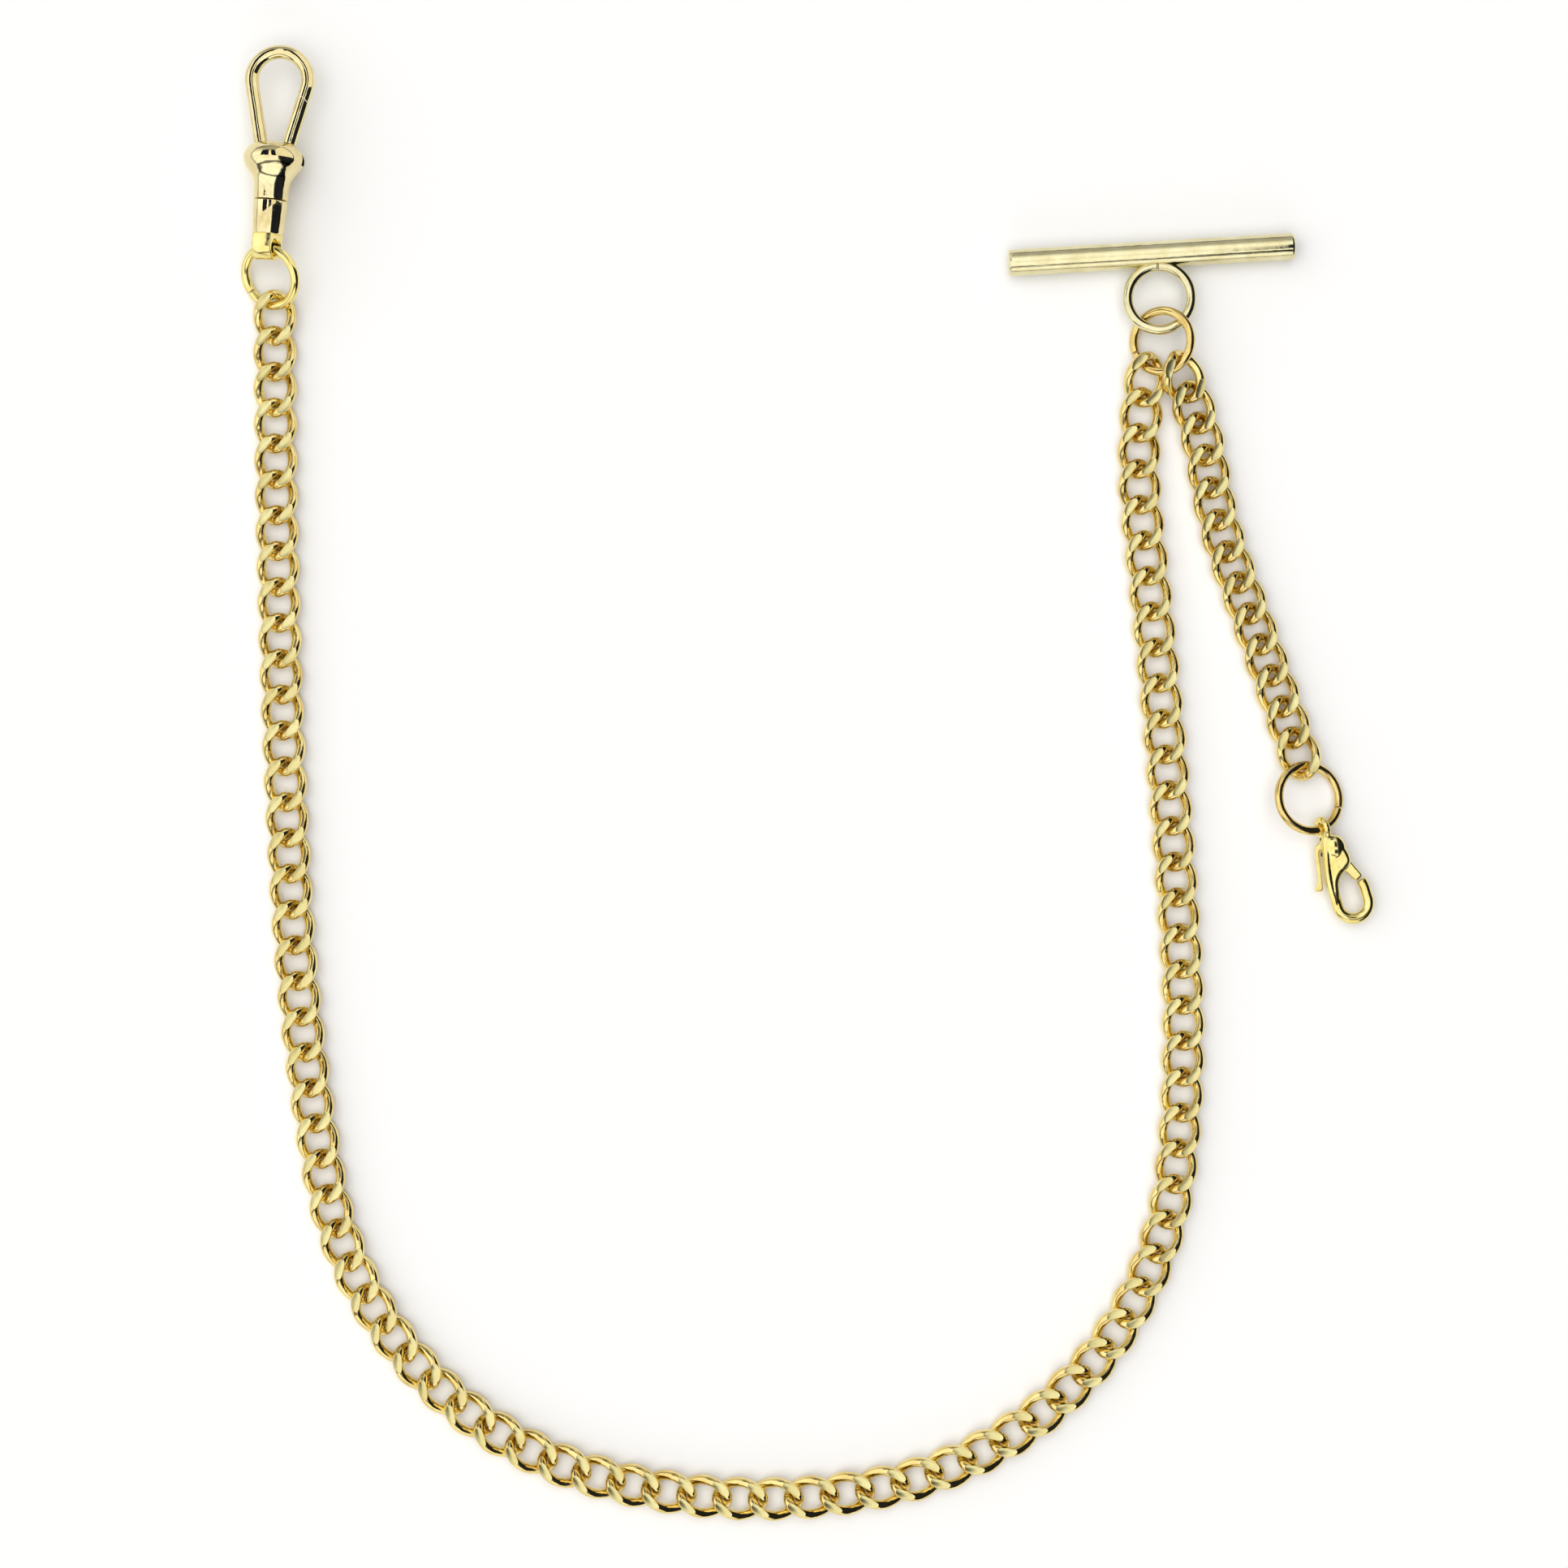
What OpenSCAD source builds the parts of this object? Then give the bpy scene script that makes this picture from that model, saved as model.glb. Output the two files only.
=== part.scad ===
// Pocket watch chain laid out on a table, millimetres.
// A T-bar and its ring hold a branch ring. A long curb chain runs from that ring round a U
// to a swivel clip for the watch, and a short one runs to a lobster clasp for a fob.
// +X is right, +Y is up the table, +Z is up, and z = 0 is the table.

/* [T-bar] */
// Length of the bar
bar_len = 32.3; // [28:0.1:36]
// Thickness of the bar
bar_d = 3; // [2.6:0.1:3.4]
// How far the ring sits from the middle of the bar
bar_ring_off = 0.5; // [0:0.1:2]

/* [Rings] */
// Wire of the ring brazed to the bar
bar_ring_wire = 1.15; // [1:0.01:1.2]
// Mean radius of the ring brazed to the bar
bar_ring_r = 3.55; // [3.5:0.01:3.6]
// Wire of the branch ring
branch_ring_wire = 1.0; // [0.9:0.01:1.02]
// Mean radius of the branch ring
branch_ring_r = 3.4; // [3.38:0.01:3.42]
// Wire of the ring at the clasp
clasp_ring_wire = 1.0; // [0.9:0.01:1.02]
// Mean radius of the ring at the clasp
clasp_ring_r = 3.7; // [3.68:0.01:3.72]
// Wire of the ring at the swivel clip
swivel_ring_wire = 1.05; // [0.95:0.01:1.07]
// Mean radius of the ring at the swivel clip
swivel_ring_r = 3.3; // [3.28:0.01:3.32]
// Gap between the ends of a bent ring
ring_split = 0.15; // [0.05:0.05:0.3]

/* [Curb chain] */
// Number of links in the long chain
long_links = 80; // [80:1:80]
// Number of links in the short chain
short_links = 13; // [13:1:13]
// Long-chain links that share one piece of the model
links_per_segment = 3; // [3:1:3]
// Wire of a link
link_wire = 1.14; // [1:0.01:1.16]
// Length of a link outside
link_len = 6.42; // [6.38:0.01:6.46]
// Width of a link outside
link_w = 4.89; // [4.8:0.01:4.95]
// Thickness of the chain between its ground flats
chain_t = 2; // [1.9:0.02:2.2]
// Twist of each end of a link about the chain
link_twist = 50; // [48:1:52]
// Slope of a link's side wires where they pass the middle
side_slope = 30; // [28:1:32]
// Link to link on the long chain, which is pulled straight
long_pitch = 4.02; // [4:0.01:4.04]
// Link to link on the short chain, which lies slack
short_pitch = 3.69; // [3.66:0.01:3.72]

/* [Swivel clip] */
// Rod of the hook and gate
hook_d = 1.55; // [1.4:0.05:1.6]
// Mean radius of the hook's bow
hook_r = 3.14; // [3:0.02:3.2]
// Lean of the hook's two limbs
hook_lean = 13; // [12:0.5:14]
// Widest diameter of the bulb
bulb_d = 6.84; // [6.6:0.02:6.9]
// Diameter of the collar at its wide end
collar_d = 3.94; // [3.8:0.02:4]

/* [Lobster clasp] */
// Thickness of the clasp body
clasp_t = 2.6; // [2.5:0.1:2.8]
// Wire of the clasp's hook
clasp_wire = 1.25; // [1.1:0.05:1.3]
// Diameter of the lever's pin
clasp_pin_d = 0.8; // [0.7:0.05:0.85]

/* [Hidden] */
$fn = 48;
fit = 0.05;
pale_gold = "#ded6a0";
yellow_gold = "#e6c35c";
flat_gold = "#e9dc8f";

// Places on the table: [x, y] or [x, y, z], worked out from the bar's ring.
bar_lean = 3.4;
bar_ring_at = [39.5, 54.5, 2.03];
branch_ring_at = [39.8, 49.66, 2.04];
branch_ring_turn = [1.4, -27, 0];
clasp_ring_at = [56.24, -1.42, 1.82];
clasp_ring_turn = [-3.3, 20.7, 17];
swivel_ring_at = [-59.92, 56.83, 2.38];
swivel_ring_turn = [21.7, -27.2, -4.5];
clip_at = [-60.16, 59.96, 3.45];
clip_lean = -4.5;
eye_roll = -24;
clasp_at = [58.5, -6.85, clasp_t / 2];
clasp_lean = 16.6;

// ---------- the route of each chain ----------
// A route is a list of [number of links, turn after each of them in degrees].
long_route = [[4, 3.9], [12, -0.25], [6, -1.6], [13, -5.6], [8, -3.3], [12, -5.4], [8, -0.85], [17, -0.2]];
short_route = [[3, -5.4], [3, 3.9], [7, -0.2]];
long_start = branch_ring_at + [-1.48, -2.22, 0];
short_start = branch_ring_at + [1.52, -2.46, 0];
long_heading = 261;
short_heading = 294.5;

// How far a link's front end dips, and how far it rolls about the chain. The rest lie flat.
function long_dip(i) = i == 0 ? 4.6 : i == long_links - 1 ? -6 : 0;
function long_roll(i) = i == 0 ? -6.4 : i == long_links - 1 ? -2 : 0;
function short_dip(i) = i == 0 ? 18.7 : i == 1 ? 9.6 : i == short_links - 1 ? -7.5 : 0;
function short_roll(i) = i == 0 ? -7.2 : i == 1 ? -3.6 : i == short_links - 1 ? 4 : 0;

// The first link leaves its joint at this height, so that the flat links end up on the table.
long_start_z = chain_t / 2 + long_pitch * sin(long_dip(0));
short_start_z = chain_t / 2 + short_pitch * (sin(short_dip(0)) + sin(short_dip(1)));

function turn_after(route, i, stretch = 0) =
    i < route[stretch][0] ? route[stretch][1] : turn_after(route, i - route[stretch][0], stretch + 1);
function along(heading, dip) = [cos(dip) * cos(heading), cos(dip) * sin(heading), -sin(dip)];

long_headings = [
    for (i = 0, heading = long_heading; i < long_links; heading = heading + turn_after(long_route, i), i = i + 1)
        heading
];
short_headings = [
    for (i = 0, heading = short_heading; i < short_links; heading = heading + turn_after(short_route, i), i = i + 1)
        heading
];
long_joints = [
    for (i = 0, at = [long_start.x, long_start.y, long_start_z]; i < long_links;
         at = at + long_pitch * along(long_headings[i], long_dip(i)), i = i + 1)
        at
];
short_joints = [
    for (i = 0, at = [short_start.x, short_start.y, short_start_z]; i < short_links;
         at = at + short_pitch * along(short_headings[i], short_dip(i)), i = i + 1)
        at
];

// ---------- one curb link ----------
// The wire's centreline is an eight-cornered ring with its corners rounded. Its ends are
// twisted one way and the other about the chain, so that neighbours cross.
link_reach = 1;
link_end = [(link_len - link_wire) / 2, 0, 0];
end_way = [0, cos(link_twist), sin(link_twist)];
link_side = [0, (link_w - link_wire) / 2, 0];
side_way = [-cos(side_slope), 0, -sin(side_slope)];
end_to_side = link_side - link_end - link_reach * end_way;
side_reach =
    (end_to_side * end_to_side - link_reach * link_reach) / (2 * (link_reach + end_to_side * side_way));
end_corner = link_end + link_reach * end_way;
side_corner = link_side - side_reach * side_way;

function unit(v) = v / norm(v);
function about_x(v) = [v.x, -v.y, -v.z];
function about_y(v) = [-v.x, v.y, -v.z];
function about_z(v) = [-v.x, -v.y, v.z];

link_corners = [
    end_corner,
    side_corner,
    about_y(side_corner),
    about_y(end_corner),
    about_z(end_corner),
    about_z(side_corner),
    about_x(side_corner),
    about_x(end_corner)
];
link_reaches = [for (i = [0:7]) i % 4 == 0 || i % 4 == 3 ? link_reach : side_reach];

// Wire bent round one corner, from the side of `before` to the side of `after`.
module bend(before, corner, after, reach, wire) {
    to_before = unit(before - corner);
    to_after = unit(after - corner);
    half = acos(to_before * to_after) / 2;
    centre = corner + unit(to_before + to_after) * reach / cos(half);
    out = unit(corner + to_before * reach - centre);
    way = -to_before;
    up = cross(out, way);
    multmatrix([
        [out.x, way.x, up.x, centre.x],
        [out.y, way.y, up.y, centre.y],
        [out.z, way.z, up.z, centre.z],
        [0, 0, 0, 1]
    ])
        rotate_extrude(angle = 180 - 2 * half)
            translate([reach * tan(half), 0])
                circle(d = wire);
}

module curb_link() {
    intersection() {
        union() {
            for (i = [0:7])
                bend(link_corners[(i + 7) % 8], link_corners[i], link_corners[(i + 1) % 8], link_reaches[i],
                     link_wire);
        }
        cube([2 * link_len, 2 * link_w, chain_t], center = true);
    }
}

// A link placed by the joint behind it.
module link_at(joint, heading, dip, roll, pitch) {
    translate(joint + pitch / 2 * along(heading, dip))
        rotate([roll, dip, heading])
            curb_link();
}

module long_segment(k) {
    first = k * links_per_segment;
    last = min(first + links_per_segment, long_links) - 1;
    color(flat_gold)
        for (i = [first:last])
            link_at(long_joints[i], long_headings[i], long_dip(i), long_roll(i), long_pitch);
}

module short_link(i) {
    color(flat_gold)
        link_at(short_joints[i], short_headings[i], short_dip(i), short_roll(i), short_pitch);
}

// ---------- shapes used more than once ----------
module torus(mean_r, wire) {
    rotate_extrude($fn = 96)
        translate([mean_r, 0])
            circle(d = wire);
}

// A ring bent from wire, with its split at `split_at` degrees.
module split_ring(mean_r, wire, split_at) {
    gap = 2 * asin(ring_split / 2 / mean_r);
    rotate([0, 0, split_at + gap / 2])
        rotate_extrude(angle = 360 - gap, $fn = 96)
            translate([mean_r, 0])
                circle(d = wire);
}

// The closed coil of a torsion spring, standing on z = 0 about +Z.
module torsion_coil(mean_r, wire, turns) {
    step = 0.94 * wire;
    rotate_extrude()
        for (i = [0:turns - 1])
            translate([mean_r, wire / 2 + i * step])
                circle(d = wire);
}

// A cylinder between two points, along any direction.
module rod(from, to, d) {
    v = to - from;
    translate(from)
        rotate([0, acos(v.z / norm(v)), atan2(v.y, v.x)])
            cylinder(h = norm(v), d = d);
}

// ---------- T-bar ----------
bar_ring_drop = bar_ring_r + sqrt(pow(bar_d / 2, 2) - pow(bar_ring_at.z - bar_d / 2, 2));
bar_edge = 0.45;

module in_bar_frame() {
    translate([bar_ring_at.x, bar_ring_at.y, 0])
        rotate([0, 0, bar_lean])
            children();
}

// The bar as a plain cylinder, `grow` larger all round.
module bar_blank(grow = 0) {
    translate([-bar_ring_off - bar_len / 2, bar_ring_drop, bar_d / 2])
        rotate([0, 90, 0])
            cylinder(h = bar_len, d = bar_d + 2 * grow);
}

// Half of the bar's outline, turned about its axis: both edges are rounded.
module bar_profile() {
    r = bar_d / 2;
    square([r - bar_edge, bar_len]);
    translate([0, bar_edge])
        square([r, bar_len - 2 * bar_edge]);
    for (y = [bar_edge, bar_len - bar_edge])
        translate([r - bar_edge, y])
            circle(r = bar_edge);
}

module tbar_bar() {
    color(pale_gold)
        in_bar_frame()
            translate([-bar_ring_off - bar_len / 2, bar_ring_drop, bar_d / 2])
                rotate([0, 90, 0])
                    rotate_extrude($fn = 96)
                        bar_profile();
}

module tbar_ring() {
    color(pale_gold)
        in_bar_frame()
            difference() {
                translate([0, 0, bar_ring_at.z])
                    split_ring(bar_ring_r, bar_ring_wire, 90);
                bar_blank();
            }
}

// ---------- jump rings ----------
module branch_ring() {
    color(yellow_gold)
        translate(branch_ring_at)
            rotate(branch_ring_turn)
                split_ring(branch_ring_r, branch_ring_wire, 200);
}

module clasp_ring() {
    color(yellow_gold)
        translate(clasp_ring_at)
            rotate(clasp_ring_turn)
                split_ring(clasp_ring_r, clasp_ring_wire, -34);
}

module swivel_ring() {
    color(yellow_gold)
        translate(swivel_ring_at)
            rotate(swivel_ring_turn)
                split_ring(swivel_ring_r, swivel_ring_wire, 212);
}

// ---------- swivel clip ----------
// Its own frame: the eye's hole is at the origin and the clip runs up +Y.
eye_hole_r = 0.9;
eye_r = 1.4;
eye_t = 2.4;
shank_d = 1.5;
shank_head_d = 2.7;
collar_bottom = 1.42;
collar_top = 5.15;
collar_small_d = 3.5;
bulb_bottom = 5.25;
bulb_top = 11.67;
bulb_mid = 9.7;
bulb_round_r = bulb_top - bulb_mid;
head_chamber = 6.95;
head_room_r = 1.45;
slot_floor = 9.3;
slot_t = 1.7;
slot_left = 0.2;
bow_mid = 18.7;
gate_pin_d = 0.8;
gate_pin_y = 10.5;
gate_pin_len = 5;
gate_boss_r = 0.85;
gate_boss_t = 0.75;
gate_gap = 0.12;
gate_cut_y = 16.8;
gate_cut_lean = -41;
cut_size = 4;
socket_y = 10.3;
limb_len = (bow_mid - hook_r * sin(hook_lean) - socket_y) / cos(hook_lean);

limb_top = hook_r * [cos(hook_lean), -sin(hook_lean), 0] + [0, bow_mid, 0];
// The point of the right limb's axis at height y.
function limb(y) = [limb_top.x - tan(hook_lean) * (limb_top.y - y), y, 0];
gate_pin_at = limb(gate_pin_y);

module in_clip_frame() {
    translate(clip_at)
        rotate([0, 0, clip_lean])
            children();
}

// Turns the frame so that +Z runs up the clip.
module up_clip() {
    rotate([-90, 0, 0])
        children();
}

module swivel_eye() {
    color(yellow_gold)
        in_clip_frame()
            rotate([0, eye_roll, 0])
                difference() {
                    union() {
                        rotate([0, 90, 0])
                            cylinder(h = eye_t, r = eye_r, center = true);
                        translate([-eye_t / 2, 0, -eye_r])
                            cube([eye_t, collar_bottom, 2 * eye_r]);
                        up_clip()
                            cylinder(h = head_chamber + 0.65, d = shank_d);
                        up_clip()
                            translate([0, 0, head_chamber + fit])
                                cylinder(h = 0.6, d = shank_head_d);
                    }
                    rotate([0, 90, 0])
                        cylinder(h = 2 * eye_t, r = eye_hole_r, center = true);
                }
}

module swivel_collar() {
    color(pale_gold)
        in_clip_frame()
            up_clip()
                translate([0, 0, collar_bottom])
                    difference() {
                        cylinder(h = collar_top - collar_bottom, d1 = collar_small_d, d2 = collar_d);
                        translate([0, 0, -1])
                            cylinder(h = collar_top, d = shank_d);
                    }
}

// Half of the bulb's outline: a neck that swells into a round shoulder.
module bulb_profile() {
    shoulder_x = bulb_d / 2 - bulb_round_r;
    intersection() {
        union() {
            polygon([
                [0, bulb_bottom],
                [collar_d / 2, bulb_bottom],
                [collar_d / 2 + 0.06, bulb_bottom + 1.2],
                [collar_d / 2 + 0.45, bulb_bottom + 2.3],
                [shoulder_x + 1.36, bulb_mid - 1.42],
                [shoulder_x, bulb_top],
                [0, bulb_top]
            ]);
            translate([shoulder_x, bulb_mid])
                circle(r = bulb_round_r, $fn = 96);
        }
        square([bulb_d, 2 * bulb_top]);
    }
}

module clip_bulb() {
    color(pale_gold)
        in_clip_frame()
            difference() {
                rotate([90, 0, 180])
                    rotate_extrude($fn = 96)
                        bulb_profile();
                up_clip()
                    cylinder(h = head_chamber + 0.1, d = shank_d + 2 * fit);
                up_clip()
                    translate([0, 0, head_chamber])
                        cylinder(h = slot_floor - head_chamber + 0.3, r = head_room_r);
                translate([slot_left, slot_floor, -slot_t / 2])
                    cube([bulb_d, bulb_top, slot_t]);
                translate(gate_pin_at)
                    cylinder(h = 2 * bulb_d, d = gate_pin_d, center = true);
                hook_rod(1);
            }
}

// Rod bent round a bow of `sweep` degrees from +X, and straight on from each end of it.
module bent_rod(r, d, sweep, before, after) {
    rotate_extrude(angle = sweep)
        translate([r, 0])
            circle(d = d);
    translate([r, 0, 0])
        rotate([90, 0, 0])
            cylinder(h = before, d = d);
    rotate([0, 0, sweep])
        translate([r, 0, 0])
            rotate([-90, 0, 0])
                cylinder(h = after, d = d);
}

// The hook's rod: `gate_side` is the length of straight rod on the gate's side.
module hook_rod(gate_side) {
    translate([0, bow_mid, 0])
        rotate([0, 0, -hook_lean])
            bent_rod(hook_r, hook_d, 180 + 2 * hook_lean, gate_side, limb_len);
}

// A block on one side of the slanting cut between the hook's nose and the gate: `side` is 1
// for the nose's side and -1 for the gate's.
module cut_block(side, shift) {
    translate([limb(gate_cut_y).x, gate_cut_y + shift, 0])
        rotate([0, 0, gate_cut_lean])
            translate([0, side * cut_size / 2, 0])
                cube(cut_size, center = true);
}

module clip_hook() {
    color(pale_gold)
        in_clip_frame()
            difference() {
                hook_rod(2.5);
                cut_block(-1, gate_gap);
            }
}

module clip_gate() {
    boss_z = -slot_t / 2 + fit;
    neck_top = gate_pin_y + 1.5;
    color(pale_gold)
        in_clip_frame()
            difference() {
                union() {
                    difference() {
                        rod(limb(neck_top - 0.4), limb(gate_cut_y + 1.5), hook_d);
                        cut_block(1, 0);
                    }
                    translate([gate_pin_at.x, gate_pin_at.y, boss_z])
                        cylinder(h = gate_boss_t, r = gate_boss_r);
                    translate([gate_pin_at.x, gate_pin_at.y, boss_z])
                        rotate([0, 0, -hook_lean])
                            translate([-0.6, 0, 0])
                                cube([1.2, neck_top - gate_pin_y, gate_boss_t]);
                }
                translate(gate_pin_at)
                    cylinder(h = bulb_d, d = gate_pin_d + 2 * fit, center = true);
            }
}

module clip_gate_pin() {
    color(yellow_gold)
        in_clip_frame()
            translate(gate_pin_at)
                cylinder(h = gate_pin_len, d = gate_pin_d, center = true);
}

module clip_gate_spring() {
    color("#b8b8ac")
        in_clip_frame()
            translate([gate_pin_at.x, gate_pin_at.y, -slot_t / 2 + fit + gate_boss_t])
                torsion_coil(0.6, 0.16, 4);
}

// ---------- lobster clasp ----------
// Its own frame: the lever's pin is at the origin, the eye is up +Y and the hook is down.
clasp_eye_r = 1.02;
clasp_eye_wire = 0.76;
clasp_eye_at = [-0.15, 2.14, 0.53];
clasp_eye_roll = -22.5;
clasp_slot_t = 1.2;
clasp_bow_r = 1.76;
clasp_bow_at = [0.84, -6.85, 0];
clasp_nose_turn = 22;
clasp_nose_r = 3;
clasp_nose_len = 1.15;
lever_t = 1.0;
lever_hub_r = 1;
lever_well = 0.45; // depth of the round well in the lever that holds its spring
spring_gap = 0.02; // under the coil, so that the lever turns freely
lever_reach = 5;

module in_clasp_frame() {
    translate(clasp_at)
        rotate([0, 0, clasp_lean])
            children();
}

// The broad part of the body, from its neck to where the hook's wire starts.
module clasp_plate() {
    linear_extrude(clasp_t, center = true)
        polygon([
            [-0.5, 1.35],
            [-0.78, 0.6],
            [-0.98, -0.5],
            [-1.25, -1.8],
            [-1.46, -3.2],
            [-1.545, -4.4],
            [-1.545, -5.2],
            [-0.295, -5.2],
            [-0.18, -4.4],
            [0.2, -3.7],
            [0.8, -3.2],
            [1.45, -2.75],
            [1.85, -2.2],
            [1.88, -1.5],
            [1.6, -0.4],
            [1.1, 0.7],
            [0.55, 1.35]
        ]);
}

// Room for the lever: it leaves the body at the right, below, and at the upper left.
module clasp_slot() {
    linear_extrude(clasp_slot_t, center = true)
        polygon([[-0.62, -5], [3, -5], [3, 0.9], [-3, 1.25], [-3, -0.5], [-0.62, -0.95]]);
}

module clasp_hook() {
    nose_start = [clasp_bow_at.x + clasp_bow_r - clasp_nose_r, clasp_bow_at.y + clasp_nose_len, 0];
    translate(clasp_bow_at)
        rotate([0, 0, 180])
            bent_rod(clasp_bow_r, clasp_wire, 180, 1.95, clasp_nose_len);
    translate(nose_start)
        rotate_extrude(angle = clasp_nose_turn)
            translate([clasp_nose_r, 0])
                circle(d = clasp_wire);
}

module clasp_body() {
    color(yellow_gold)
        in_clasp_frame()
            difference() {
                union() {
                    difference() {
                        clasp_plate();
                        clasp_slot();
                    }
                    clasp_hook();
                    translate(clasp_eye_at)
                        rotate([0, -clasp_eye_roll, 0])
                            rotate([0, 90, 0])
                                torus(clasp_eye_r, clasp_eye_wire);
                }
                cylinder(h = 2 * clasp_t, d = clasp_pin_d, center = true);
                cylinder(h = clasp_slot_t, r = lever_hub_r + 0.1, center = true);
            }
}

// The lever: its arm closes the hook, and its tail stands off the body's back for a nail.
module clasp_lever() {
    color(yellow_gold)
        in_clasp_frame()
            difference() {
                union() {
                    linear_extrude(lever_t, center = true)
                        intersection() {
                            polygon([
                                [0.6, 0.7],
                                [1.45, -1.2],
                                [2.75, -4.4],
                                [2.0, -5],
                                [1.45, -4.1],
                                [0.5, -2.6],
                                [-0.3, -0.8]
                            ]);
                            circle(r = lever_reach, $fn = 96);
                        }
                    linear_extrude(lever_t, center = true)
                        polygon([
                            [-0.2, 0.7],
                            [-1.3, 0.5],
                            [-1.75, -0.4],
                            [-2.25, -3.3],
                            [-2.9, -4.3],
                            [-2.85, -4.5],
                            [-2.05, -4.6],
                            [-1.75, -3.3],
                            [-1.25, -0.3],
                            [-0.6, -0.1]
                        ]);
                    cylinder(h = lever_t, r = lever_hub_r, center = true);
                }
                cylinder(h = 2 * lever_t, d = clasp_pin_d + 2 * fit, center = true);
                translate([0, 0, lever_t / 2 - lever_well])
                    cylinder(h = lever_t, r = 0.74);
            }
}

module clasp_pin() {
    color(pale_gold)
        in_clasp_frame()
            cylinder(h = clasp_t, d = clasp_pin_d, center = true);
}

module clasp_spring() {
    color("#b8b8ac")
        in_clasp_frame()
            translate([0, 0, lever_t / 2 - lever_well + spring_gap])
                torsion_coil(0.58, 0.14, 3);
}

// ---------- nodes ----------
function two_digits(n) = str(n < 10 ? "0" : "", n);
function long_name(k) = str("long_chain_", two_digits(k + 1));
function short_name(i) = str("short_link_", two_digits(i + 1));
long_segments = ceil(long_links / links_per_segment);

tbar_bar();
tbar_ring();
branch_ring();
swivel_ring();
swivel_eye();
swivel_collar();
clip_bulb();
clip_hook();
clip_gate();
clip_gate_pin();
clip_gate_spring();
clasp_ring();
clasp_body();
clasp_lever();
clasp_pin();
clasp_spring();
for (i = [0:short_links - 1])
    short_link(i);
for (k = [0:long_segments - 1])
    long_segment(k);
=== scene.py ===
"""Looks of the pocket watch chain: fine meshes and plated-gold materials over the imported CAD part.

Lengths below are millimetres in the part's own frame, and meshes are scaled to metres as they are made.
Materials and the studio's lamp work in metres, as Blender does.
"""

import math

import bmesh
import bpy
import numpy as np
from mathutils import Matrix, Vector


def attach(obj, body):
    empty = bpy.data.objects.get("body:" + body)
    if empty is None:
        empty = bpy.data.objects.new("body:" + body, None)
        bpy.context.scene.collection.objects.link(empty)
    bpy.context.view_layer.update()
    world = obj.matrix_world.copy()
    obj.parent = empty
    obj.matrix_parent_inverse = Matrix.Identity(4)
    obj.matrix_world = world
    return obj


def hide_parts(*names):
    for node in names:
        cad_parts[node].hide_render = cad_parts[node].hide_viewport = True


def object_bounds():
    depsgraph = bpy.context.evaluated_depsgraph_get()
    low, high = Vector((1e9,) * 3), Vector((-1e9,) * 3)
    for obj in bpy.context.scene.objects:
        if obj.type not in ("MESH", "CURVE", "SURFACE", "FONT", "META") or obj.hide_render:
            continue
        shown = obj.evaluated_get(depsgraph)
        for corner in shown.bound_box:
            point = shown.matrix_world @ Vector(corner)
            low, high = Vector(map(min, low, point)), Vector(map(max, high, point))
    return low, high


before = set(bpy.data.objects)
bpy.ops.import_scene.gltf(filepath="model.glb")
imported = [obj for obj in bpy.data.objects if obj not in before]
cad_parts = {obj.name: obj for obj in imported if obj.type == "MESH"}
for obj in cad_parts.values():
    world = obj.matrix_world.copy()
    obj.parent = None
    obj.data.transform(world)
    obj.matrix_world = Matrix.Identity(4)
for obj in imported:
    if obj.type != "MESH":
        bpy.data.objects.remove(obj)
cad_box = [list(corner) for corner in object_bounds()]
MM = 0.001
# Faces that meet at more than this get a crease.
CREASE = math.radians(38)

# ---------------------------------------------------------------- where things lie, as in part.scad
BAR_LEAN = 3.4
BAR_LEN = 32.3
BAR_D = 3.0
BAR_RING_OFF = 0.5
BAR_RING = dict(at=(39.5, 54.5, 2.03), turn=(0, 0, BAR_LEAN), r=3.55, wire=1.15, split=90)
BRANCH_RING = dict(at=(39.8, 49.66, 2.04), turn=(1.4, -27, 0), r=3.4, wire=1.0, split=200)
CLASP_RING = dict(at=(56.24, -1.42, 1.82), turn=(-3.3, 20.7, 17), r=3.7, wire=1.0, split=-34)
SWIVEL_RING = dict(at=(-59.92, 56.83, 2.38), turn=(21.7, -27.2, -4.5), r=3.3, wire=1.05, split=212)
RING_GAP = 0.15
CLIP_AT = (-60.16, 59.96, 3.45)
CLIP_LEAN = -4.5
EYE_ROLL = -24
CLASP_AT = (58.5, -6.85, 1.3)
CLASP_LEAN = 16.6

# The curb chain. A route is a list of (links, turn after each of them). Dip and roll tilt single links.
WIRE = 1.14
LINK_LEN = 6.42
LINK_W = 4.89
CHAIN_T = 2.0
LINK_TWIST = 50
SIDE_SLOPE = 30
LINK_REACH = 1.0
SEAM_DIP = 0.035
FLAT_EDGE = 0.035
FLAT_EDGE_DROP = 0.018
LONG = dict(
    route=[(4, 3.9), (12, -0.25), (6, -1.6), (13, -5.6), (8, -3.3), (12, -5.4), (8, -0.85), (17, -0.2)],
    count=80, pitch=4.02, start=(-1.48, -2.22), heading=261,
    dip={0: 4.6, 79: -6}, roll={0: -6.4, 79: -2},
)
SHORT = dict(
    route=[(3, -5.4), (3, 3.9), (7, -0.2)],
    count=13, pitch=3.69, start=(1.52, -2.46), heading=294.5,
    dip={0: 18.7, 1: 9.6, 12: -7.5}, roll={0: -7.2, 1: -3.6, 12: 4},
)
LINKS_PER_SEGMENT = 3


# ---------------------------------------------------------------- small maths
def turn(x=0, y=0, z=0):
    """A 4 by 4 turn about X, then Y, then Z, in degrees."""
    about = [Matrix.Rotation(math.radians(a), 4, axis) for a, axis in ((x, "X"), (y, "Y"), (z, "Z"))]
    return about[2] @ about[1] @ about[0]


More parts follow.
